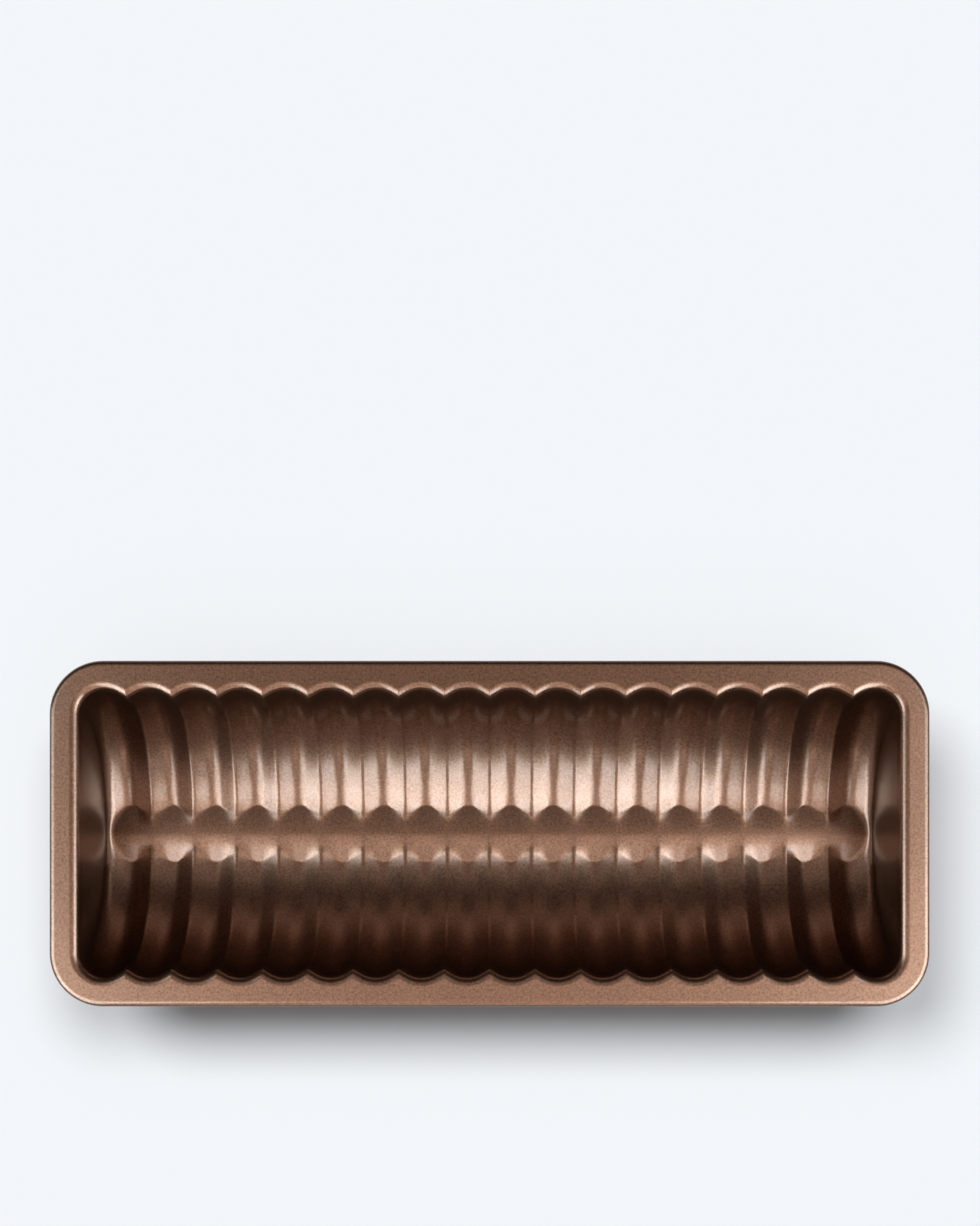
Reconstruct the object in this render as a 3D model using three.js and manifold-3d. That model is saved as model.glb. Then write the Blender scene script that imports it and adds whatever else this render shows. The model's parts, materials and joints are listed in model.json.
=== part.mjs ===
// A ridged loaf pan: a half-round trough pressed from one steel sheet, fluted across its length,
// with a raised spine along its floor, a flat rim, and an edge rolled round a steel wire.
// Millimetres, +Z up, +X along the pan. The shapes are drawn about the trough's axis, and the
// finished pan is set down with the middle of its base at the origin.
import * as THREE from "three";
import { mergeVertices } from "three/addons/utils/BufferGeometryUtils.js";
import Module from "manifold-3d";

// Driving dimensions
const SHEET = 0.6; // thickness of the steel
const FLUTE_COUNT = 18;
const FLUTE_PITCH = 15.5;
const FLUTE_DEPTH = 2.4; // from a crest to the valley beside it, at the mouth
const VALLEY_RADIUS = 7; // rounding along the valley of a flute
const CREST_RADIUS = 2.5; // rounding along the crest between two flutes
const TROUGH_HALF = 49; // trough axis to the inside of a valley at the mouth
const TROUGH_DEPTH = 42; // trough axis to the inside of a valley at the floor
const WALL_RISE = 6.4; // upright wall, from the trough axis to the face of the rim
const END_RADIUS = 8.3; // sweep from the last valley into the end wall
const SPINE_RISE = 0.85; // top of the spine above the crests
const SPINE_SLOPE = 0.3; // fall of the spine's flanks
const SPINE_ROUND = 5; // reach of the rounding along the top of the spine
const FOOT_PRESS = 0.15; // how far the lowest places are pressed flat
const LIP_RADIUS = 2.8; // turn of the wall into the rim
const RIM_FLAT = 5.35; // face of the rim, from the lip to the rolled edge
const CURL_TURN = THREE.MathUtils.degToRad(280); // how far the edge is rolled
const WIRE_DIAMETER = 1.8;
const WIRE_CLEARANCE = 0.3; // from the wire to the inside of the rolled edge
const WIRE_BUTT_GAP = 0.5; // between the two ends of the wire

// Fineness of the facets
const FLUTE_STEPS = 6;
const END_STEPS = 3;
const TROUGH_STEPS = 28; // round the whole circle, of which the pan uses half
const LIP_STEPS = 2;
const CORNER_STEPS = 5;
const CURL_STEPS = 6;
const WIRE_SIDES = 8;
const SPINE_STEPS = 5;

const CUT_MARGIN = 1; // how far a cutting or joining body runs past what it meets
const SAME_POINT = 1e-4; // points closer than this are one
const QUARTER_TURN = Math.PI / 2;

// Sizes that follow from the driving dimensions
const LAST_VALLEY = ((FLUTE_COUNT - 1) / 2) * FLUTE_PITCH;
const END_WALL = LAST_VALLEY + END_RADIUS;
const CORNER_IN = TROUGH_HALF - END_RADIUS; // corner centres, from the middle line
const CREST_LEVEL = TROUGH_HALF - FLUTE_DEPTH; // trough axis to a crest, at the mouth
const CREST_FLOOR = (CREST_LEVEL * TROUGH_DEPTH) / TROUGH_HALF; // the same at the floor
const VALLEY_CENTRE = TROUGH_HALF - VALLEY_RADIUS;
const CREST_CENTRE = CREST_LEVEL + CREST_RADIUS;
const HALF_FLUTE = FLUTE_PITCH / 2;
// A flute's flanks are straight and touch the circles of its valley and of the crests beside it.
const BOTH_ROUNDS = VALLEY_RADIUS + CREST_RADIUS;
const FLANK_ANGLE =
  Math.asin(BOTH_ROUNDS / Math.hypot(HALF_FLUTE, BOTH_ROUNDS - FLUTE_DEPTH)) -
  Math.atan2(BOTH_ROUNDS - FLUTE_DEPTH, HALF_FLUTE);
const CURL_INSIDE = WIRE_DIAMETER / 2 + WIRE_CLEARANCE;
const CURL_OUTSIDE = CURL_INSIDE + SHEET;
const CURL_PATH = END_RADIUS + LIP_RADIUS + RIM_FLAT; // corner radius of the wire's path
const CURL_Z = WALL_RISE - CURL_OUTSIDE; // middle of the wire, above the trough axis

const wasm = await Module();
wasm.setup();

// A closed geometry as a solid that can be cut and joined.
function solidOf(geometry) {
  geometry.deleteAttribute("normal");
  geometry.deleteAttribute("uv");
  const merged = mergeVertices(geometry, SAME_POINT);
  const corners = merged.index.array;
  const triVerts = [];
  for (let i = 0; i < corners.length; i += 3) {
    const [a, b, c] = corners.slice(i, i + 3);
    if (a !== b && b !== c && c !== a) triVerts.push(a, b, c);
  }
  const vertProperties = merged.attributes.position.array;
  return new wasm.Manifold(
    new wasm.Mesh({ numProp: 3, vertProperties, triVerts: new Uint32Array(triVerts) }),
  );
}

// A solid back as a geometry for a mesh.
function geometryOf(solid) {
  const { vertProperties, triVerts } = solid.getMesh();
  const geometry = new THREE.BufferGeometry();
  geometry.setAttribute("position", new THREE.BufferAttribute(vertProperties, 3));
  geometry.setIndex(new THREE.BufferAttribute(triVerts, 1));
  geometry.computeVertexNormals();
  return geometry;
}

// A closed surface over a row of rings with as many points each, anticlockwise about the row.
// The row's two ends are capped, or joined to each other where the row runs round a loop.
function skin(rings, looped, flatten) {
  const count = rings[0].length;
  const index = [];
  const spans = looped ? rings.length : rings.length - 1;
  for (let i = 0; i < spans; i++) {
    const near = i * count;
    const far = ((i + 1) % rings.length) * count;
    for (let j = 0; j < count; j++) {
      const k = (j + 1) % count;
      index.push(near + j, near + k, far + k, near + j, far + k, far + j);
    }
  }
  if (!looped) {
    const capAt = (ring, start, outward) => {
      const contour = ring.map(flatten);
      const keeps = THREE.ShapeUtils.area(contour) > 0 === outward;
      for (const face of THREE.ShapeUtils.triangulateShape(contour, [])) {
        const corners = keeps ? face : face.toReversed();
        index.push(...corners.map((c) => start + c));
      }
    };
    capAt(rings[0], 0, false);
    capAt(rings.at(-1), (rings.length - 1) * count, true);
  }
  const geometry = new THREE.BufferGeometry().setFromPoints(rings.flat());
  geometry.setIndex(index);
  return geometry;
}

// Distance of the fluted wall from the axis at a place along the pan, moved out by an offset.
function wallRadius(x, offset) {
  const flutes = x / FLUTE_PITCH + FLUTE_COUNT / 2;
  const fromValley = Math.abs(flutes - Math.floor(flutes) - 0.5) * FLUTE_PITCH;
  const fromCrest = HALF_FLUTE - fromValley;
  const valley = VALLEY_RADIUS + offset;
  const crest = CREST_RADIUS - offset;
  const lean = Math.sin(FLANK_ANGLE);
  if (fromValley <= valley * lean) {
    return VALLEY_CENTRE + Math.sqrt(valley ** 2 - fromValley ** 2);
  }
  if (fromCrest < crest * lean) {
    return CREST_CENTRE - Math.sqrt(crest ** 2 - fromCrest ** 2);
  }
  return VALLEY_CENTRE + (valley - fromValley * lean) / Math.cos(FLANK_ANGLE);
}

// One long side of the trough as points (x, distance from the middle), left end wall to right.
function longSide(offset) {
  const radius = END_RADIUS + offset;
  const corner = (side, angle) =>
    new THREE.Vector2(
      side * (LAST_VALLEY + radius * Math.cos(angle)),
      CORNER_IN + radius * Math.sin(angle),
    );
  const points = [];
  for (let i = 0; i < END_STEPS; i++) {
    points.push(corner(-1, (i / END_STEPS) * QUARTER_TURN));
  }
  const steps = (FLUTE_COUNT - 1) * FLUTE_STEPS;
  for (let i = 0; i <= steps; i++) {
    const x = -LAST_VALLEY + (i / FLUTE_STEPS) * FLUTE_PITCH;
    points.push(new THREE.Vector2(x, wallRadius(x, offset)));
  }
  for (let i = END_STEPS - 1; i >= 0; i--) {
    points.push(corner(1, (i / END_STEPS) * QUARTER_TURN));
  }
  return points;
}

// The plan of the trough's mouth at one height, anticlockwise seen from above.
function mouthRing(offset, z) {
  const side = longSide(offset);
  const front = side.map((p) => new THREE.Vector3(p.x, -p.y, z));
  const back = side.map((p) => new THREE.Vector3(p.x, p.y, z)).reverse();
  return [...front, ...back];
}

// Height of the spine's top surface above the trough axis, moved down by a sheet's thickness.
function spineHeight(y, below) {
  const fall = SPINE_SLOPE * (Math.hypot(y, SPINE_ROUND) - SPINE_ROUND);
  const slope = (SPINE_SLOPE * y) / Math.hypot(y, SPINE_ROUND);
  return SPINE_RISE - CREST_FLOOR - fall - below * Math.hypot(1, slope);
}

// A box from one height to another, wide enough to cut right through the pan.
function slab(bottom, top) {
  const reach = 2 * (END_WALL + TROUGH_HALF);
  const box = new THREE.BoxGeometry(reach, reach, top - bottom);
  return solidOf(box.translate(0, 0, (bottom + top) / 2));
}

// The trough filled solid out to an offset from its inside face. The fluted line is turned round
// the axis and flattened to the trough's depth. The mouth opens along the lip, whose arc is about
// the same centre for every offset, and runs up to the given height.
function filledTrough(offset, top) {
  const profile = longSide(offset).map((p) => new THREE.Vector2(p.y, p.x));
  const axisPoint = (x) => new THREE.Vector2(0, x);
  profile.unshift(axisPoint(-END_WALL - offset));
  profile.push(axisPoint(END_WALL + offset));
  const round = new THREE.LatheGeometry(profile, TROUGH_STEPS);
  round.rotateZ(-QUARTER_TURN);
  round.scale(1, 1, (TROUGH_DEPTH + offset) / (TROUGH_HALF + offset));

  const rings = [mouthRing(offset, 0)];
  const lip = LIP_RADIUS - offset;
  for (let i = LIP_STEPS; i >= 0; i--) {
    const angle = (i / LIP_STEPS) * QUARTER_TURN;
    const outwards = LIP_RADIUS - lip * Math.sin(angle);
    rings.push(mouthRing(outwards, WALL_RISE - LIP_RADIUS + lip * Math.cos(angle)));
  }
  rings.push(mouthRing(LIP_RADIUS, top));
  const mouth = skin(rings, false, (p) => new THREE.Vector2(p.x, p.y));
  return solidOf(round).add(solidOf(mouth));
}

// Everything under the spine's top surface, moved down by a sheet's thickness.
function underSpine(below) {
  const fall = TROUGH_DEPTH - CREST_FLOOR + SPINE_RISE + SHEET;
  const reach = fall / SPINE_SLOPE + SPINE_ROUND;
  const floor = -TROUGH_DEPTH - 2 * SHEET - CUT_MARGIN;
  const section = new THREE.Shape();
  section.moveTo(-reach, floor);
  section.lineTo(reach, floor);
  for (let i = SPINE_STEPS; i >= -SPINE_STEPS; i--) {
    const y = (i / SPINE_STEPS) * reach;
    section.lineTo(y, spineHeight(y, below));
  }
  const length = 2 * (END_WALL + SHEET + CUT_MARGIN);
  const bar = new THREE.ExtrudeGeometry(section, { depth: length, bevelEnabled: false });
  bar.translate(0, 0, -length / 2).rotateX(QUARTER_TURN).rotateZ(QUARTER_TURN);
  return solidOf(bar);
}

// Places round the path of the wire, clockwise from the back right corner, with the way out.
function rimStations() {
  const centres = [[1, 1], [1, -1], [-1, -1], [-1, 1]];
  return centres.flatMap(([sideX, sideY], corner) =>
    Array.from({ length: CORNER_STEPS + 1 }, (_, i) => {
      const angle = (1 - corner - i / CORNER_STEPS) * QUARTER_TURN;
      const out = new THREE.Vector2(Math.cos(angle), Math.sin(angle));
      const centre = new THREE.Vector2(sideX * LAST_VALLEY, sideY * CORNER_IN);
      return { place: centre.addScaledVector(out, CURL_PATH), out };
    }),
  );
}

// A section, drawn as (outwards, up), set up at one place on the path.
function sectionAt({ place, out }, section) {
  return section.map(
    (p) => new THREE.Vector3(place.x + out.x * p.x, place.y + out.y * p.x, p.y),
  );
}

// Part of a circle about the middle of the wire, from straight up and over the outside.
function curlArc(radius, steps, turn) {
  return Array.from({ length: steps }, (_, i) => {
    const angle = QUARTER_TURN - (i / (steps - 1)) * turn;
    return new THREE.Vector2(radius * Math.cos(angle), radius * Math.sin(angle));
  });
}

// The flat rim and its rolled edge, reaching in past the crests, where the mouth cuts it.
function rolledRim() {
  const reach = RIM_FLAT + LIP_RADIUS + FLUTE_DEPTH + CUT_MARGIN;
  const section = [
    new THREE.Vector2(-reach, CURL_INSIDE),
    ...curlArc(CURL_INSIDE, CURL_STEPS + 1, CURL_TURN),
    ...curlArc(CURL_OUTSIDE, CURL_STEPS + 1, CURL_TURN).reverse(),
    new THREE.Vector2(-reach, CURL_OUTSIDE),
  ];
  const rings = rimStations().map((station) => sectionAt(station, section));
  return solidOf(skin(rings, true).translate(0, 0, CURL_Z));
}

// The outside of the trough under the rim, before its feet are pressed flat.
function drawnOutside() {
  const top = WALL_RISE - SHEET / 2;
  return filledTrough(SHEET, top)
    .subtract(slab(top, TROUGH_DEPTH + SHEET + CUT_MARGIN))
    .subtract(underSpine(SHEET));
}

// The pressed sheet: trough, spine, lip, rim and rolled edge in one piece, standing on a base.
function panBody(outside, base) {
  const far = base - TROUGH_DEPTH;
  const inside = filledTrough(0, WALL_RISE + CUT_MARGIN)
    .subtract(underSpine(0))
    .subtract(slab(far, base + SHEET));
  const sheet = outside.subtract(slab(far, base)).add(rolledRim()).subtract(inside);
  return geometryOf(sheet);
}

// The wire in the rolled edge, bent from one length whose ends butt at the middle of the back.
function rimWire() {
  const section = curlArc(WIRE_DIAMETER / 2, WIRE_SIDES + 1, 2 * Math.PI).slice(1).reverse();
  const out = new THREE.Vector2(0, 1);
  const buttAt = (side) => ({
    place: new THREE.Vector2((side * WIRE_BUTT_GAP) / 2, CORNER_IN + CURL_PATH),
    out,
  });
  const stations = [buttAt(1), ...rimStations(), buttAt(-1)];
  const rings = stations.map((station) => sectionAt(station, section));
  return skin(rings, false, (p) => new THREE.Vector2(p.y, p.z));
}

const bronzeCoat = new THREE.MeshStandardMaterial({
  color: 0x8a6250,
  metalness: 0.85,
  roughness: 0.38,
});
const wireSteel = new THREE.MeshStandardMaterial({
  color: 0x9c9a96,
  metalness: 1,
  roughness: 0.45,
});

const pan = new THREE.Group();

const outside = drawnOutside();
const base = outside.boundingBox().min[2] + FOOT_PRESS;

const body = new THREE.Mesh(panBody(outside, base), bronzeCoat);
body.name = "pan_body";
body.position.z = -base;
pan.add(body);

const wire = new THREE.Mesh(rimWire(), wireSteel);
wire.name = "rim_wire";
wire.position.z = CURL_Z - base;
pan.add(wire);

export default pan;
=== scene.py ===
# %% [markdown]
# # A ridged loaf pan, pressed, rolled, coated and lit
#
# The real pan starts as one flat steel blank. Two dies press it into a half-round trough with
# flutes across it and a low spine along its floor, and the edge is then rolled round a wire. This
# lesson follows the same order. A flat grid is the blank, a function plays the die, extruded loops
# become the rim and the rolled edge, and a modifier gives the sheet its thickness.
#
# The frame is the measured model of the same pan. It is loaded first, and its box is kept, because
# the finished piece has to stay inside it.

# %% Load the frame
import json
import math

import bpy
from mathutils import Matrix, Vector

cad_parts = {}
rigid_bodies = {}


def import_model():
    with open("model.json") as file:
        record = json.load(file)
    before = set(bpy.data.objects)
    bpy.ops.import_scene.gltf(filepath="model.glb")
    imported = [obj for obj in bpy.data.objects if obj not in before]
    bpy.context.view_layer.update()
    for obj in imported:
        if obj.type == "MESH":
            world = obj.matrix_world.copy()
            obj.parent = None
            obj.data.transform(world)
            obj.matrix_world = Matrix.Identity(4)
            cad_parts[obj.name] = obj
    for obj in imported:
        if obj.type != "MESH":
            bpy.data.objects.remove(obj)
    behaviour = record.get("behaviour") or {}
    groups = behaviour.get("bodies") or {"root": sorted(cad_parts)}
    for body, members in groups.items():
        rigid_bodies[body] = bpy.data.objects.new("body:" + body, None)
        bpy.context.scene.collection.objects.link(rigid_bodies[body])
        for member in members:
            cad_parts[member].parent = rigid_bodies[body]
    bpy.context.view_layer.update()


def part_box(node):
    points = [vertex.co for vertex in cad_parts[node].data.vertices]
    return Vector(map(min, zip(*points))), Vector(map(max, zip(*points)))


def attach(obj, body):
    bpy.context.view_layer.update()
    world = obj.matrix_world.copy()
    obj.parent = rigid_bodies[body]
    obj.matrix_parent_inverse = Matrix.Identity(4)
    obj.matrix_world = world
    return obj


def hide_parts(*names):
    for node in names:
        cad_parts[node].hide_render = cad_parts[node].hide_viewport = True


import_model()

# %% [markdown]
# ## Sizes
#
# Everything that the eye can check is written once here, as a real size. What follows from them is
# worked out below. The height of the rim and its reach come from the frame, so the visible pan and
# the measured one agree.

# %% Driving dimensions, in metres
MM = 0.001

SHEET = 0.6 * MM  # thickness of the steel
FLUTE_COUNT = 18
FLUTE_PITCH = 15.5 * MM
FLUTE_DEPTH = 2.4 * MM  # from a crest to the valley beside it, at the floor
VALLEY_RADIUS = 7 * MM  # rounding along the valley of a flute
CREST_RADIUS = 2.5 * MM  # rounding along the crest between two flutes
MOUTH_FLUTE_DEPTH = 2.9 * MM  # the same three at the mouth
MOUTH_VALLEY_RADIUS = 9.5 * MM
MOUTH_CREST_RADIUS = 0.9 * MM
TROUGH_HALF = 49 * MM  # trough axis to the inside of a valley at the mouth
TROUGH_DEPTH = 42 * MM  # trough axis to the inside of a valley at the floor
WALL_RISE = 6.4 * MM  # upright wall, from the trough axis to the face of the rim
END_RADIUS = 8.3 * MM  # last valley to the end wall, and the mouth's corner in plan
FOOT_RADIUS = 5 * MM  # the same corner at the bottom of the end wall
END_FLUTE_DEPTH = 2.85 * MM  # depth of the flute whose flank runs up to that corner
SPINE_RISE = 0.85 * MM  # top of the spine above the crests
SPINE_SLOPE = 0.3  # fall of the spine's flanks in the middle of a flute
SADDLE_SLOPE = 0.1  # the same where a crest crosses the spine
SPINE_ROUND = 5 * MM  # reach of the rounding along the top of the spine
VALLEY_BLEND = 0.2 * MM  # softness of the crease between spine and flutes, in a valley
CREST_BLEND = 1.4 * MM  # the same at a crest, where the spine runs into it gently
END_BLEND = 1.2 * MM  # the same at the foot of the end wall
CREST_FADE = 6.5 * MM  # a crest's softness is in full from this far off the middle line outwards
LIP_RADIUS = 2.8 * MM  # turn of the wall into the rim
WIRE_DIAMETER = 1.8 * MM
WIRE_CLEARANCE = 0.3 * MM
WIRE_BUTT_GAP = 0.5 * MM
CURL_TURN = math.radians(280)  # how far the edge is rolled

# %% Sizes that follow
_, rim_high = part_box("pan_body")
RIM_Z = rim_high.z
AXIS_Z = RIM_Z - WALL_RISE
LAST_VALLEY = (FLUTE_COUNT - 1) / 2 * FLUTE_PITCH
END_WALL = LAST_VALLEY + END_RADIUS
CORNER_IN = TROUGH_HALF - END_RADIUS
FLATTENING = TROUGH_DEPTH / TROUGH_HALF  # of the half-round section
CREST_FLOOR = (TROUGH_HALF - FLUTE_DEPTH) * FLATTENING  # trough axis to a crest at the floor
HALF_FLUTE = FLUTE_PITCH / 2
CURL_INSIDE = WIRE_DIAMETER / 2 + WIRE_CLEARANCE
CURL_OUTSIDE = CURL_INSIDE + SHEET
RIM_FLAT = rim_high.x - END_WALL - LIP_RADIUS - CURL_OUTSIDE
print(f"axis {AXIS_Z / MM:.2f} mm up, rim flat {RIM_FLAT / MM:.2f} mm wide")

# %% [markdown]
# ## The die
#
# The trough's shape is one line drawn along the pan, swung round the trough's axis and flattened a
# little. Each flute has a rounded valley, two straight flanks and a crest, so its flanks catch the
# light as even bands. Towards the mouth the flutes grow rounder and their crests sharper, and the
# corner at each end opens out. So the line is drawn twice, for the floor and for the mouth, and
# the die blends the two.
#
# The spine is a row of low beads, one in each flute, with a saddle where a crest crosses it. Each
# bead is a small roof with a rounded top. It meets its flute in a scalloped crease, so the rows of
# the mesh are bent to follow that crease. A row that lies in a crease keeps it clean with far fewer
# faces than a fine grid that crosses it.


# %% The line along the pan
VALLEY_STEPS = 4  # on each side of a valley
FLANK_STEPS = 2
CREST_STEPS = 3  # on each side of a crest
CORNER_STEPS = 14
END_WALL_SHARES = [0, 0.25, 0.5, 0.7, 0.85, 0.95]  # of the way from the axis to the corner


class Flute:
    """The section of a flute: a round valley and, on each side, a straight flank and a round crest."""

    def __init__(self, depth, valley, crest):
        self.valley = valley
        self.crest = crest
        self.valley_centre = TROUGH_HALF - valley
        self.crest_centre = TROUGH_HALF - depth + crest
        both = valley + crest
        spare = both - depth
        self.lean = math.asin(both / math.hypot(HALF_FLUTE, spare)) - math.atan2(spare, HALF_FLUTE)
        self.sin = math.sin(self.lean)
        self.cos = math.cos(self.lean)

    def flank(self, across, offset=0):
        """Distance of a flank from the axis, at a distance across the flute from its valley."""
        return self.valley_centre + (self.valley + offset - across * self.sin) / self.cos

    def level(self, across, offset=0):
        """Distance of the whole section from the axis, moved outwards by an offset."""
        valley, crest = self.valley + offset, self.crest - offset
        from_crest = HALF_FLUTE - across
        if across <= valley * self.sin:
            return self.valley_centre + math.sqrt(valley**2 - across**2)
        if from_crest < crest * self.sin:
            return self.crest_centre - math.sqrt(crest**2 - from_crest**2)
        return self.flank(across, offset)

    def places(self, flank_end):
        """Distances from the valley to the end of a flank, at which the line has its points."""
        valley = [self.valley * math.sin(i / VALLEY_STEPS * self.lean) for i in range(VALLEY_STEPS)]
        start = self.valley * self.sin
        flank = [start + i / FLANK_STEPS * (flank_end - start) for i in range(FLANK_STEPS + 1)]
        return valley + flank

    def half(self):
        """From a valley to the next crest: (distance along the pan, radius) pairs."""
        places = self.places(HALF_FLUTE - self.crest * self.sin)
        for i in range(1, CREST_STEPS + 1):
            angle = (1 - i / CREST_STEPS) * self.lean
            places.append(HALF_FLUTE - self.crest * math.sin(angle))
        return [(across, self.level(across)) for across in places]


def floor_end(flute):
    """From the last valley down a flank, round the foot of the end wall and up to the wall."""
    middle_x = END_RADIUS - FOOT_RADIUS
    flank_end = middle_x + FOOT_RADIUS * flute.sin
    middle_r = flute.flank(flank_end) - FOOT_RADIUS * flute.cos
    points = [(across, flute.level(across)) for across in flute.places(flank_end)]
    for i in range(1, CORNER_STEPS + 1):
        angle = flute.lean + i / CORNER_STEPS * (math.pi / 2 - flute.lean)
        across = middle_x + FOOT_RADIUS * math.sin(angle)
        points.append((across, middle_r + FOOT_RADIUS * math.cos(angle)))
    return points


def mouth_end():
    """The same with as many points at the mouth, where the corner is one round turn."""
    count = VALLEY_STEPS + FLANK_STEPS + CORNER_STEPS
    angles = [i / count * math.pi / 2 for i in range(count + 1)]
    return [(END_RADIUS * math.sin(a), CORNER_IN + END_RADIUS * math.cos(a)) for a in angles]


def profile(flute, end):
    """The whole line from the left end of the axis to the right end: (x, radius) pairs."""
    rising = flute.half()
    wave = rising[:-1] + [(FLUTE_PITCH - x, r) for x, r in reversed(rising)][:-1]
    waves = []
    for i in range(FLUTE_COUNT - 1):
        valley = i * FLUTE_PITCH - LAST_VALLEY
        waves += [(valley + x, r) for x, r in wave]
    corner_top = end[-1][1]
    end_wall = [(END_RADIUS, share * corner_top) for share in reversed(END_WALL_SHARES)]
    right = [(LAST_VALLEY + x, r) for x, r in end + end_wall]
    return [(-x, r) for x, r in reversed(right)] + waves + right[1:]


floor_flute = Flute(FLUTE_DEPTH, VALLEY_RADIUS, CREST_RADIUS)
mouth_flute = Flute(MOUTH_FLUTE_DEPTH, MOUTH_VALLEY_RADIUS, MOUTH_CREST_RADIUS)
end_flute = Flute(END_FLUTE_DEPTH, VALLEY_RADIUS, CREST_RADIUS)
floor_line = profile(floor_flute, floor_end(end_flute))
mouth_line = profile(mouth_flute, mouth_end())
print(len(floor_line), "columns along the pan at the floor,", len(mouth_line), "at the mouth")
for flute in (floor_flute, mouth_flute, end_flute):
    print(f"flanks lean {math.degrees(flute.lean):.1f} degrees")


# %% The spine and its crease
LEAST_HALF_ROW = 1.5 * MM  # half width of the middle rows where there is no spine
SADDLE_POWER = 6  # a higher power makes the saddles narrower
HALVINGS = 40  # of the span in which the crease is searched for


def wall_height(radius, y):
    """Height of the fluted wall over the trough axis, a negative number."""
    return -FLATTENING * math.sqrt(max(radius**2 - y**2, 0))


def from_valley(x):
    """Distance along the pan from the middle of the nearest flute."""
    flutes = x / FLUTE_PITCH + FLUTE_COUNT / 2
    return abs(flutes - math.floor(flutes) - 0.5) * FLUTE_PITCH


def saddle_at(x):
    """0 in the middle of a flute, where the spine is a bead, and 1 where a crest crosses it."""
    if abs(x) > LAST_VALLEY:
        return 0
    return math.sin(math.pi * from_valley(x) / FLUTE_PITCH) ** SADDLE_POWER


def spine_height(x, y):
    """Height of the spine's face over the trough axis, a negative number."""
    slope = SPINE_SLOPE + saddle_at(x) * (SADDLE_SLOPE - SPINE_SLOPE)
    return SPINE_RISE - CREST_FLOOR - slope * (math.hypot(y, SPINE_ROUND) - SPINE_ROUND)


def crease_at(x, radius):
    """Distance from the middle line at which the spine sinks into the wall."""
    near, far = 0.0, radius
    for _ in range(HALVINGS):
        y = (near + far) / 2
        if spine_height(x, y) > wall_height(radius, y):
            near = y
        else:
            far = y
    least = LEAST_HALF_ROW * min(1, radius / CORNER_IN)
    return max(near, least)


def blend_at(x, y):
    """Softness of the crease: sharp in a valley, wide at a crest and at the end wall."""
    past = max(abs(x) - LAST_VALLEY, 0) / END_RADIUS
    fading = min(y / CREST_FADE, 1) ** 2
    at_crest = saddle_at(x) * fading * (CREST_BLEND - VALLEY_BLEND)
    return VALLEY_BLEND + at_crest + past * (END_BLEND - VALLEY_BLEND)


def blended_top(a, b, softness):
    """The higher of two heights, with the corner between them rounded."""
    near = max(softness - abs(a - b), 0) / softness
    return max(a, b) + near * near * softness / 4


print(f"crease {crease_at(LAST_VALLEY, TROUGH_HALF) / MM:.2f} mm out in a valley")

# %% [markdown]
# ## The blank and the pressing
#
# By hand one would draw the line, spin it half a turn and push the spine up from below. A grid
# gives the same rows and columns in one go, and each point then goes where the die sends it. The
# grid's two end columns all land on one point in the middle of an end wall, so they are merged.

# %% Rows across the blank
# Shares of the way from the middle line to the crease, and then from the crease to the mouth. The
# rows stand closer near the crease, where the face turns most.
SPINE_ROWS = [0, 0.12, 0.25, 0.38, 0.5, 0.62, 0.73, 0.82, 0.88, 0.93, 0.965, 0.985]
CREASE_ROWS = [0, 0.0022, 0.0052, 0.0096, 0.0163, 0.028, 0.047, 0.07]
WALL_ROW_COUNT = 24  # even rows over the rest of the wall


def half_rows():
    """Rows from the middle line outwards: ("spine", share) up to the crease, then ("wall", share)."""
    rows = [("spine", share) for share in SPINE_ROWS]
    rows += [("wall", share) for share in CREASE_ROWS]
    last = CREASE_ROWS[-1]
    for i in range(1, WALL_ROW_COUNT + 1):
        rows.append(("wall", last + (1 - last) * i / WALL_ROW_COUNT))
    return rows


outward_rows = half_rows()
rows = [(-1, row) for row in reversed(outward_rows[1:])] + [(1, row) for row in outward_rows]
print(len(rows), "rows across the pan")


# %% Press the blank
def pressed(floor_point, mouth_point, crease, side, row):
    """Where the die sends one point of the blank."""
    x, radius = floor_point
    zone, share = row
    if radius == 0:
        return x, 0.0, AXIS_Z
    if zone == "spine":
        y = share * crease
    else:
        start = math.asin(crease / radius)
        opening = math.sin(share * math.pi / 2) ** 2
        x += opening * (mouth_point[0] - x)
        radius += opening * (mouth_point[1] - radius)
        y = radius * math.sin(start + share * (math.pi / 2 - start))
    spine = spine_height(floor_point[0], y)
    height = blended_top(wall_height(radius, y), spine, blend_at(floor_point[0], y))
    return x, side * y, AXIS_Z + height


bpy.ops.object.select_all(action="DESELECT")
bpy.ops.mesh.primitive_grid_add(
    x_subdivisions=len(floor_line) - 1, y_subdivisions=len(rows) - 1, size=1
)
pan = bpy.context.object
pan.name = "pan_sheet"
creases = [crease_at(*point) for point in floor_line]
for vertex in pan.data.vertices:
    i = round((vertex.co.x + 0.5) * (len(floor_line) - 1))
    j = round((vertex.co.y + 0.5) * (len(rows) - 1))
    vertex.co = pressed(floor_line[i], mouth_line[i], creases[i], *rows[j])
print(pan.name, len(pan.data.vertices), "points pressed")

# %% Close the end walls
SAME_POINT = 0.001 * MM

bpy.ops.object.mode_set(mode="EDIT")
bpy.ops.mesh.select_all(action="SELECT")
bpy.ops.mesh.remove_doubles(threshold=SAME_POINT)
bpy.ops.mesh.normals_make_consistent(inside=False)
bpy.ops.object.mode_set(mode="OBJECT")
print(len(pan.data.vertices), "points left")

# %% [markdown]
# ## Wall, lip, rim and rolled edge
#
# The trough's open edge is one loop. Extruding it again and again, and setting each new loop at
# its offset and height, draws the upright wall, the turn of the lip, the flat rim and the curl.
# At the lip the loops keep the flutes' scallops, which grow sharper as they move outwards, and on
# the rim they are straight.


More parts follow.
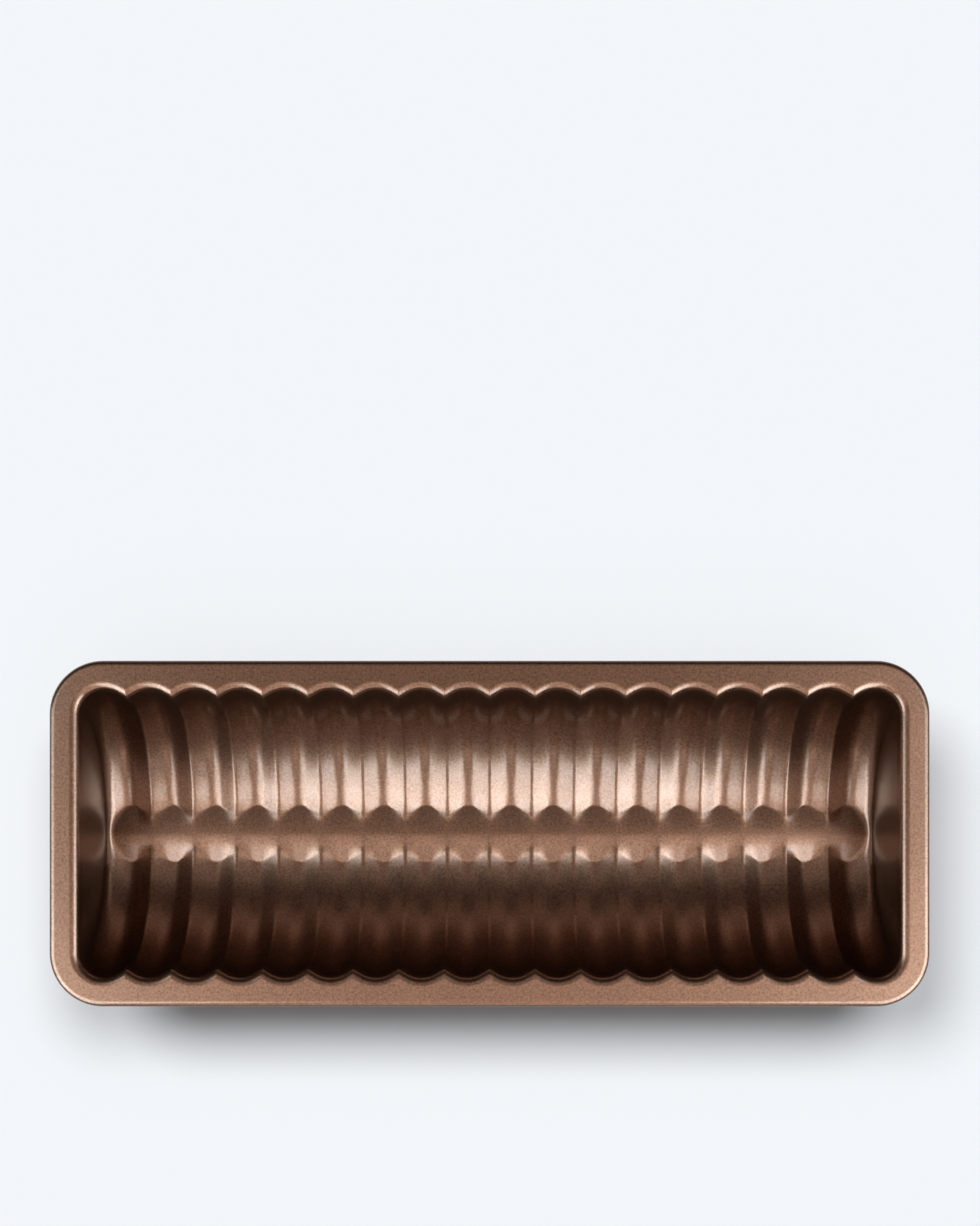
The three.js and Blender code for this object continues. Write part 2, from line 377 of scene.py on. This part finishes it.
# %% Where a loop goes
def loop_place(x, y, offset, scalloped):
    """A point of a loop at an offset from the mouth, with the flutes' scallops or without."""
    if x <= LAST_VALLEY + SAME_POINT:
        level = mouth_flute.level(from_valley(x), offset) if scalloped else TROUGH_HALF + offset
        return x, level
    if y <= CORNER_IN + SAME_POINT:
        return END_WALL + offset, y
    angle = math.atan2(y - CORNER_IN, x - LAST_VALLEY)
    reach = END_RADIUS + offset
    return LAST_VALLEY + reach * math.cos(angle), CORNER_IN + reach * math.sin(angle)


crest_at_mouth = loop_place(0, 0, 0, True)[1]
print(f"the middle crest meets the mouth {crest_at_mouth / MM:.2f} mm from the middle line")

# %% The loops, one after another
LIP_STEPS = 6
CURL_STEPS = 16
RIM_SUPPORT = 0.35 * MM  # loops this close to the rim's two edges keep its face flat


def mouth_loops():
    """(offset, height, scalloped) for each loop, from the wall to the end of the curl."""
    loops = [(0, RIM_Z - LIP_RADIUS, True)]
    for i in range(1, LIP_STEPS + 1):
        angle = i / LIP_STEPS * math.pi / 2
        fall = LIP_RADIUS * (1 - math.sin(angle))
        loops.append((LIP_RADIUS * (1 - math.cos(angle)), RIM_Z - fall, True))
    curl_start = LIP_RADIUS + RIM_FLAT
    loops.append((LIP_RADIUS + RIM_SUPPORT, RIM_Z, True))
    loops.append((curl_start - RIM_SUPPORT, RIM_Z, False))
    for i in range(CURL_STEPS + 1):
        angle = i / CURL_STEPS * CURL_TURN
        out = CURL_OUTSIDE * math.sin(angle)
        fall = CURL_OUTSIDE * (1 - math.cos(angle))
        loops.append((curl_start + out, RIM_Z - fall, False))
    return loops


def select_open_edge(piece):
    """Selects the loop of edges that belong to one face only."""
    bpy.ops.object.mode_set(mode="EDIT")
    bpy.ops.mesh.select_mode(type="EDGE")
    bpy.ops.mesh.select_all(action="DESELECT")
    bpy.ops.mesh.select_non_manifold(
        extend=False, use_wire=False, use_multi_face=False, use_non_contiguous=False, use_verts=False
    )
    bpy.ops.object.mode_set(mode="OBJECT")
    return sum(edge.select for edge in piece.data.edges)


bpy.context.view_layer.objects.active = pan
print(select_open_edge(pan), "edges round the mouth")
for offset, height, scalloped in mouth_loops():
    bpy.ops.object.mode_set(mode="EDIT")
    bpy.ops.mesh.extrude_edges_move()
    bpy.ops.object.mode_set(mode="OBJECT")
    for vertex in pan.data.vertices:
        if not vertex.select:
            continue
        x, y = loop_place(abs(vertex.co.x), abs(vertex.co.y), offset, scalloped)
        vertex.co = math.copysign(x, vertex.co.x), math.copysign(y, vertex.co.y), height
print(len(mouth_loops()), "loops,", len(pan.data.polygons), "faces")

# %% [markdown]
# ## Thickness and feet
#
# The Solidify modifier lays the second face of the sheet behind the first, so the pan is as thick
# as real steel. The lowest places under the flutes are then pressed flat, where the pan stands.

# %% Give the sheet its thickness
bpy.ops.object.mode_set(mode="EDIT")
bpy.ops.mesh.select_all(action="SELECT")
bpy.ops.mesh.normals_make_consistent(inside=False)
bpy.ops.object.mode_set(mode="OBJECT")
middle_face = min(pan.data.polygons, key=lambda face: face.center.length)
if middle_face.normal.z < 0:
    pan.data.flip_normals()

solidify = pan.modifiers.new("sheet thickness", "SOLIDIFY")
solidify.thickness = SHEET
solidify.offset = -1
solidify.use_even_offset = True
bpy.ops.object.modifier_apply(modifier=solidify.name)
print(pan.name, "now has", len(pan.data.polygons), "faces")

# %% Press the feet and smooth the faces
SMOOTH_UP_TO = math.radians(50)  # edges that turn further stay crisp

feet = 0
for vertex in pan.data.vertices:
    if vertex.co.z < 0:
        vertex.co.z = 0
        feet += 1
bpy.ops.object.select_all(action="DESELECT")
pan.select_set(True)
bpy.context.view_layer.objects.active = pan
bpy.ops.object.shade_smooth_by_angle(angle=SMOOTH_UP_TO)
triangles = sum(len(face.vertices) - 2 for face in pan.data.polygons)
print(feet, "points on the base,", triangles, "triangles")

# %% [markdown]
# ## The wire in the edge
#
# The wire is one length of round steel, bent to the rim's outline, with its ends butted at the
# back. As by hand, a circle is drawn at one end, extruded along each straight and spun round each
# corner. Both ends are filled, because a cut wire shows its section.

# %% Draw the wire
WIRE_SIDES = 16
WIRE_CORNER_STEPS = 10
CURL_PATH = END_RADIUS + LIP_RADIUS + RIM_FLAT
WIRE_Z = RIM_Z - CURL_OUTSIDE
WIRE_Y = CORNER_IN + CURL_PATH


def extrude_by(move):
    """Draws a straight length of wire."""
    bpy.ops.mesh.extrude_region_move(TRANSFORM_OT_translate={"value": move})


def spin_corner(x, y):
    """Bends the wire a quarter turn round a point."""
    bpy.ops.mesh.spin(
        steps=WIRE_CORNER_STEPS, angle=math.pi / 2, center=(x, y, WIRE_Z), axis=(0, 0, 1)
    )


bpy.ops.object.select_all(action="DESELECT")
bpy.ops.mesh.primitive_circle_add(
    vertices=WIRE_SIDES,
    radius=WIRE_DIAMETER / 2,
    fill_type="NOTHING",
    location=(WIRE_BUTT_GAP / 2, WIRE_Y, WIRE_Z),
    rotation=(0, math.pi / 2, 0),
)
wire = bpy.context.object
wire.name = "edge_wire"
bpy.ops.object.transform_apply(location=True, rotation=True, scale=True)
bpy.ops.object.mode_set(mode="EDIT")
bpy.ops.mesh.select_all(action="SELECT")
half_back = LAST_VALLEY - WIRE_BUTT_GAP / 2
extrude_by((half_back, 0, 0))
spin_corner(LAST_VALLEY, CORNER_IN)
extrude_by((0, -2 * CORNER_IN, 0))
spin_corner(LAST_VALLEY, -CORNER_IN)
extrude_by((-2 * LAST_VALLEY, 0, 0))
spin_corner(-LAST_VALLEY, -CORNER_IN)
extrude_by((0, 2 * CORNER_IN, 0))
spin_corner(-LAST_VALLEY, CORNER_IN)
extrude_by((half_back, 0, 0))
bpy.ops.mesh.select_all(action="SELECT")
bpy.ops.mesh.remove_doubles(threshold=SAME_POINT)
bpy.ops.mesh.select_all(action="DESELECT")
bpy.ops.mesh.select_mode(type="EDGE")
bpy.ops.mesh.select_non_manifold()
bpy.ops.mesh.edge_face_add()
bpy.ops.mesh.select_all(action="SELECT")
bpy.ops.mesh.normals_make_consistent(inside=False)
bpy.ops.object.mode_set(mode="OBJECT")
bpy.ops.object.shade_smooth_by_angle(angle=SMOOTH_UP_TO)
wire_low = [min(v.co[k] for v in wire.data.vertices) / MM for k in range(3)]
wire_high = [max(v.co[k] for v in wire.data.vertices) / MM for k in range(3)]
print("wire from", [round(c, 2) for c in wire_low], "to", [round(c, 2) for c in wire_high])

# %% [markdown]
# ## Shader maths
#
# A finish is a small sum: a colour made a little lighter here, a little rougher there. The class
# below wraps a socket of a material, so that such sums are written as Python sums. Each operator
# adds a Math node, and one method adds any other node.


# %% A socket that can be added and multiplied
class Shade:
    """A number, colour or vector in a material's node tree."""

    def __init__(self, tree, socket=None):
        self.tree = tree
        self.socket = socket

    def node(self, kind, settings=None, sockets=None, output=0):
        """Adds a node: its settings are set first, then the values or links of its sockets."""
        made = self.tree.nodes.new(kind)
        for name, value in (settings or {}).items():
            setattr(made, name, value)
        for name, value in (sockets or {}).items():
            if isinstance(value, Shade):
                self.tree.links.new(value.socket, made.inputs[name])
            else:
                made.inputs[name].default_value = value
        return Shade(self.tree, made.outputs[output] if made.outputs else None)

    def maths(self, operation, first, second):
        """Adds a Math node on two numbers."""
        return self.node("ShaderNodeMath", {"operation": operation}, {0: first, 1: second})

    def __add__(self, other):
        return self.maths("ADD", self, other)

    def __radd__(self, other):
        return self.maths("ADD", other, self)

    def __sub__(self, other):
        return self.maths("SUBTRACT", self, other)

    def __rsub__(self, other):
        return self.maths("SUBTRACT", other, self)

    def __mul__(self, other):
        return self.maths("MULTIPLY", self, other)

    def __rmul__(self, other):
        return self.maths("MULTIPLY", other, self)

    def noise(self, feature, detail=2.0):
        """Soft noise on Object coordinates, with features of about this size, from 0 to 1."""
        place = self.node("ShaderNodeTexCoord", output="Object")
        sockets = {"Vector": place, "Scale": 1 / feature, "Detail": detail}
        return self.node("ShaderNodeTexNoise", None, sockets)

    def mix(self, share, first, second):
        """A colour part of the way from the first to the second."""
        settings = {"data_type": "RGBA"}
        sockets = {0: share, 6: first, 7: second}
        return self.node("ShaderNodeMix", settings, sockets, output=2)


def new_finish(name):
    """An empty material, its maths and its Principled shader, joined to the output."""
    material = bpy.data.materials.new(name)
    material.use_nodes = True
    material.node_tree.nodes.clear()
    maths = Shade(material.node_tree)
    shader = maths.node("ShaderNodeBsdfPrincipled")
    maths.node("ShaderNodeOutputMaterial", None, {"Surface": shader})
    return material, maths, shader.socket.node


def set_sockets(maths, shader, **sockets):
    """Sets or links the shader's sockets, written with _ for the spaces in their names."""
    for name, value in sockets.items():
        socket = shader.inputs[name.replace("_", " ")]
        if isinstance(value, Shade):
            maths.tree.links.new(value.socket, socket)
        else:
            socket.default_value = value


# %% [markdown]
# ## The bronze coat
#
# The coat is a bronze metallic non-stick finish: fine metal flakes in a clear binder. From a step
# away it is a warm brown metal with pale, soft highlights, and close up it glitters a little. So
# the colour and roughness carry a fine grain, a slow drift keeps large faces from looking flat,
# a fine bump stirs the reflections, and a clear coat gives the pale gloss on top.

# %% Mix the bronze coat
BRONZE = (0.205, 0.099, 0.057, 1)
BRONZE_DARK = (0.105, 0.05, 0.029, 1)
EDGE_TINT = (0.4, 0.35, 0.3, 1)  # dims the flakes where they are seen edge on
BRIGHT_SHARE = 0.35  # of the brighter bronze, before grain and drift change it
GRAIN_SIZE = 0.8 * MM
GRAIN_HEIGHT = 0.004 * MM
GRAIN_CONTRAST = 2.3  # how far the grain moves that share
DRIFT_SIZE = 22 * MM
DRIFT_CONTRAST = 0.3
BRONZE_ROUGHNESS = 0.29
GRAIN_ROUGHNESS = 0.08  # what the grain adds to it


def bronze_coat():
    """Flakes of two bronzes under a clear coat."""
    material, maths, shader = new_finish("bronze coat")
    grain = maths.noise(GRAIN_SIZE, detail=3)
    drift = maths.noise(DRIFT_SIZE)
    share = (grain - 0.5) * GRAIN_CONTRAST + BRIGHT_SHARE + drift * DRIFT_CONTRAST
    colour = maths.mix(share, BRONZE_DARK, BRONZE)
    bump = maths.node(
        "ShaderNodeBump", None, {"Strength": 1.0, "Distance": GRAIN_HEIGHT, "Height": grain}
    )
    set_sockets(
        maths,
        shader,
        Base_Color=colour,
        Metallic=1.0,
        Roughness=BRONZE_ROUGHNESS + grain * GRAIN_ROUGHNESS,
        Normal=bump,
        Specular_Tint=EDGE_TINT,
        Coat_Weight=0.7,
        Coat_Roughness=0.2,
        Coat_IOR=1.5,
    )
    return material


pan.data.materials.clear()
pan.data.materials.append(bronze_coat())
print("bronze coat on", pan.name)

# %% [markdown]
# ## The wire's steel
#
# The wire is drawn through a die, which leaves fine marks on it and a grey, half-dull face. It shows
# only from underneath, through the slit that the rolled edge leaves.

# %% Draw the steel
STEEL = (0.55, 0.54, 0.52, 1)
STEEL_DARK = (0.38, 0.37, 0.36, 1)
MARK_SIZE = 0.15 * MM
PATCH_SIZE = 6 * MM
STEEL_ROUGHNESS = 0.35
PATCH_ROUGHNESS = 0.2  # what the duller patches add to it


def wire_steel():
    """Bare steel with fine marks and duller patches."""
    material, maths, shader = new_finish("wire steel")
    marks = maths.noise(MARK_SIZE, detail=1)
    patches = maths.noise(PATCH_SIZE)
    colour = maths.mix(marks * 0.5 + patches * 0.5, STEEL_DARK, STEEL)
    roughness = STEEL_ROUGHNESS + patches * PATCH_ROUGHNESS
    set_sockets(maths, shader, Base_Color=colour, Metallic=1.0, Roughness=roughness)
    return material


wire.data.materials.clear()
wire.data.materials.append(wire_steel())
print("steel on", wire.name)

# %% [markdown]
# ## Floor and camera
#
# The pan stands on a plain pale floor that reaches past the frame. The camera hangs over the middle
# of the pan and looks straight down. The picture shows the pan low in the frame with no slant, so
# the lens is shifted, as a view camera's is, and the camera itself stays over the middle.

# %% Lay the floor
FLOOR_SIZE = 30
FLOOR_COLOUR = (0.88, 0.913, 0.947, 1)

bpy.ops.object.select_all(action="DESELECT")
bpy.ops.mesh.primitive_plane_add(size=FLOOR_SIZE, location=(0, 0, 0))
floor = bpy.context.object
floor.name = "floor"
floor_finish, floor_maths, floor_shader = new_finish("pale floor")
set_sockets(
    floor_maths,
    floor_shader,
    Base_Color=FLOOR_COLOUR,
    Roughness=1.0,
    Specular_IOR_Level=0.0,
)
floor.data.materials.append(floor_finish)
print("floor", FLOOR_SIZE, "m wide")

# %% Hang the camera
FRAME_WIDTH, FRAME_HEIGHT = 980, 1226  # of the picture, in pixels
RIM_LENGTH_PX = 882.2  # the rim's length in the picture
PAN_CENTRE_PX = (489.6, 833.6)
CAMERA_OVER_RIM = 0.57
SENSOR = 36.0  # millimetres, along the picture's long side

camera_data = bpy.data.cameras.new("camera")
camera = bpy.data.objects.new("camera", camera_data)
bpy.context.scene.collection.objects.link(camera)
camera.location = (0, 0, RIM_Z + CAMERA_OVER_RIM)
rim_length = 2 * rim_high.x
focal_px = RIM_LENGTH_PX * CAMERA_OVER_RIM / rim_length
camera_data.sensor_width = SENSOR
camera_data.lens = focal_px / FRAME_HEIGHT * SENSOR
camera_data.shift_x = (FRAME_WIDTH / 2 - PAN_CENTRE_PX[0]) / FRAME_HEIGHT
camera_data.shift_y = (PAN_CENTRE_PX[1] - FRAME_HEIGHT / 2) / FRAME_HEIGHT
bpy.context.scene.camera = camera
print(f"lens {camera_data.lens:.1f} mm, shift {camera_data.shift_y:.3f}")

# %% [markdown]
# ## Light
#
# A group of soft boxes stands on each side, left and right, in front of the pan and beside it. They
# give each flute its pair of pale stripes. Dimmer, warmer panels in front and overhead fill in the
# rest. Only a dim one hangs towards the back, so the near wall stays dark. A lamp's place is given
# as a photographer would: how far it leans from straight up, which way it stands and how far off it
# is. The floor has two soft suns and a wide sky of its own, so that the pan's shadow falls where it
# should.


# %% Light links
def only_for(light, *receivers):
    """Makes a lamp light these objects and no others."""
    group = bpy.data.collections.new(light.name + " lights")
    for receiver in receivers:
        group.objects.link(receiver)
    light.light_linking.receiver_collection = group


# %% A soft box
from mathutils import Vector

PAN_MIDDLE = Vector((0, 0, RIM_Z / 2))
print(f"the soft boxes face a point {PAN_MIDDLE.z / MM:.1f} mm over the floor")


def soft_box(name, lean, turn, distance, size, level, colour):
    """A rectangular lamp facing the pan. Angles are in degrees, and turn starts at the right."""
    lean, turn = math.radians(lean), math.radians(turn)
    across = math.sin(lean)
    away = Vector((across * math.cos(turn), across * math.sin(turn), math.cos(lean)))
    width, height = size
    data = bpy.data.lights.new(name, "AREA")
    data.shape = "RECTANGLE"
    data.size = width
    data.size_y = height
    data.color = colour
    data.energy = level * math.pi * width * height
    lamp = bpy.data.objects.new(name, data)
    bpy.context.scene.collection.objects.link(lamp)
    lamp.location = PAN_MIDDLE + distance * away
    lamp.rotation_euler = away.to_track_quat("Z", "Y").to_euler()
    only_for(lamp, pan, wire)


# %% Set up the lamps
DAYLIGHT = (0.78, 1.0, 1.14)
WARM = (1.0, 0.88, 0.79)
RIGHT, BACK, LEFT, FRONT = 0, 90, 180, 270  # which way a lamp stands, in degrees
FRONT_TURN = 42  # from a side towards the front
BESIDE_TURN = 18
BOX_DISTANCE = 0.55
PANEL_DISTANCE = 0.7
OVERHEAD_DISTANCE = 0.85
RIGHT_DISTANCE = 0.8  # of the small panel that hangs over the right end


def lamp_count():
    """How many lamps the scene has so far."""
    return sum(thing.type == "LIGHT" for thing in bpy.context.scene.objects)


for side, turn, forwards, strength in (("left", LEFT, 1, 0.97), ("right", RIGHT, -1, 1.06)):
    front = turn + FRONT_TURN * forwards
    beside = turn + BESIDE_TURN * forwards
    for name, lean, towards, size, level in (
        ("upper", 42, front, (0.26, 0.2), 6.1),
        ("lower", 63, front, (0.34, 0.2), 7.2),
        ("outer", 56, beside, (0.22, 0.36), 5.0),
        ("side", 43, turn, (0.3, 0.2), 3.2),
        ("low side", 64, turn, (0.2, 0.26), 4.5),
    ):
        full_name = f"{side} {name} box"
        soft_box(full_name, lean, towards, BOX_DISTANCE, size, level * strength, DAYLIGHT)
soft_box("low front panel", 70, FRONT, PANEL_DISTANCE, (0.5, 0.25), 2.2, WARM)
soft_box("front panel", 52, FRONT, PANEL_DISTANCE, (0.3, 0.3), 1.6, WARM)
soft_box("front overhead panel", 19, FRONT, OVERHEAD_DISTANCE, (1.0, 0.52), 1.65, WARM)
soft_box("back overhead panel", 20, BACK, OVERHEAD_DISTANCE, (1.2, 0.5), 0.6, WARM)
soft_box("right overhead panel", 27, RIGHT, RIGHT_DISTANCE, (0.3, 0.3), 0.85, WARM)
print(lamp_count(), "soft boxes and panels")


# %% Light the floor
WORLD_COLOUR = (0.05, 0.05, 0.05, 1)


def floor_sun(name, towards, angle, level):
    """A distant lamp for the floor. A wide angle gives a soft edge to the pan's shadow."""
    data = bpy.data.lights.new(name, "SUN")
    data.energy = level * math.pi
    data.angle = math.radians(angle)
    lamp = bpy.data.objects.new(name, data)
    bpy.context.scene.collection.objects.link(lamp)
    lamp.rotation_euler = Vector(towards).to_track_quat("Z", "Y").to_euler()
    only_for(lamp, floor)


floor_sun("left floor sun", (-0.5, 0.4, 1), 27, 0.52)
floor_sun("right floor sun", (0.2, 0.4, 1), 27, 0.4)
floor_sun("floor sky", (0, 0, 1), 100, 0.16)

world = bpy.data.worlds.new("studio")
world.use_nodes = True
world.node_tree.nodes["Background"].inputs["Color"].default_value = WORLD_COLOUR
bpy.context.scene.world = world
bpy.context.scene.view_settings.view_transform = "Standard"
print(lamp_count(), "lamps in all")

# %% [markdown]
# ## Join to the frame
#
# Each piece rides on the pan's one body and stands for the solid that it covers, which is hidden.

# %% Join the pieces to the frame
for piece, node, slot in ((pan, "pan_body", "bronze_coat"), (wire, "rim_wire", "wire_steel")):
    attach(piece, "root")
    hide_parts(node)
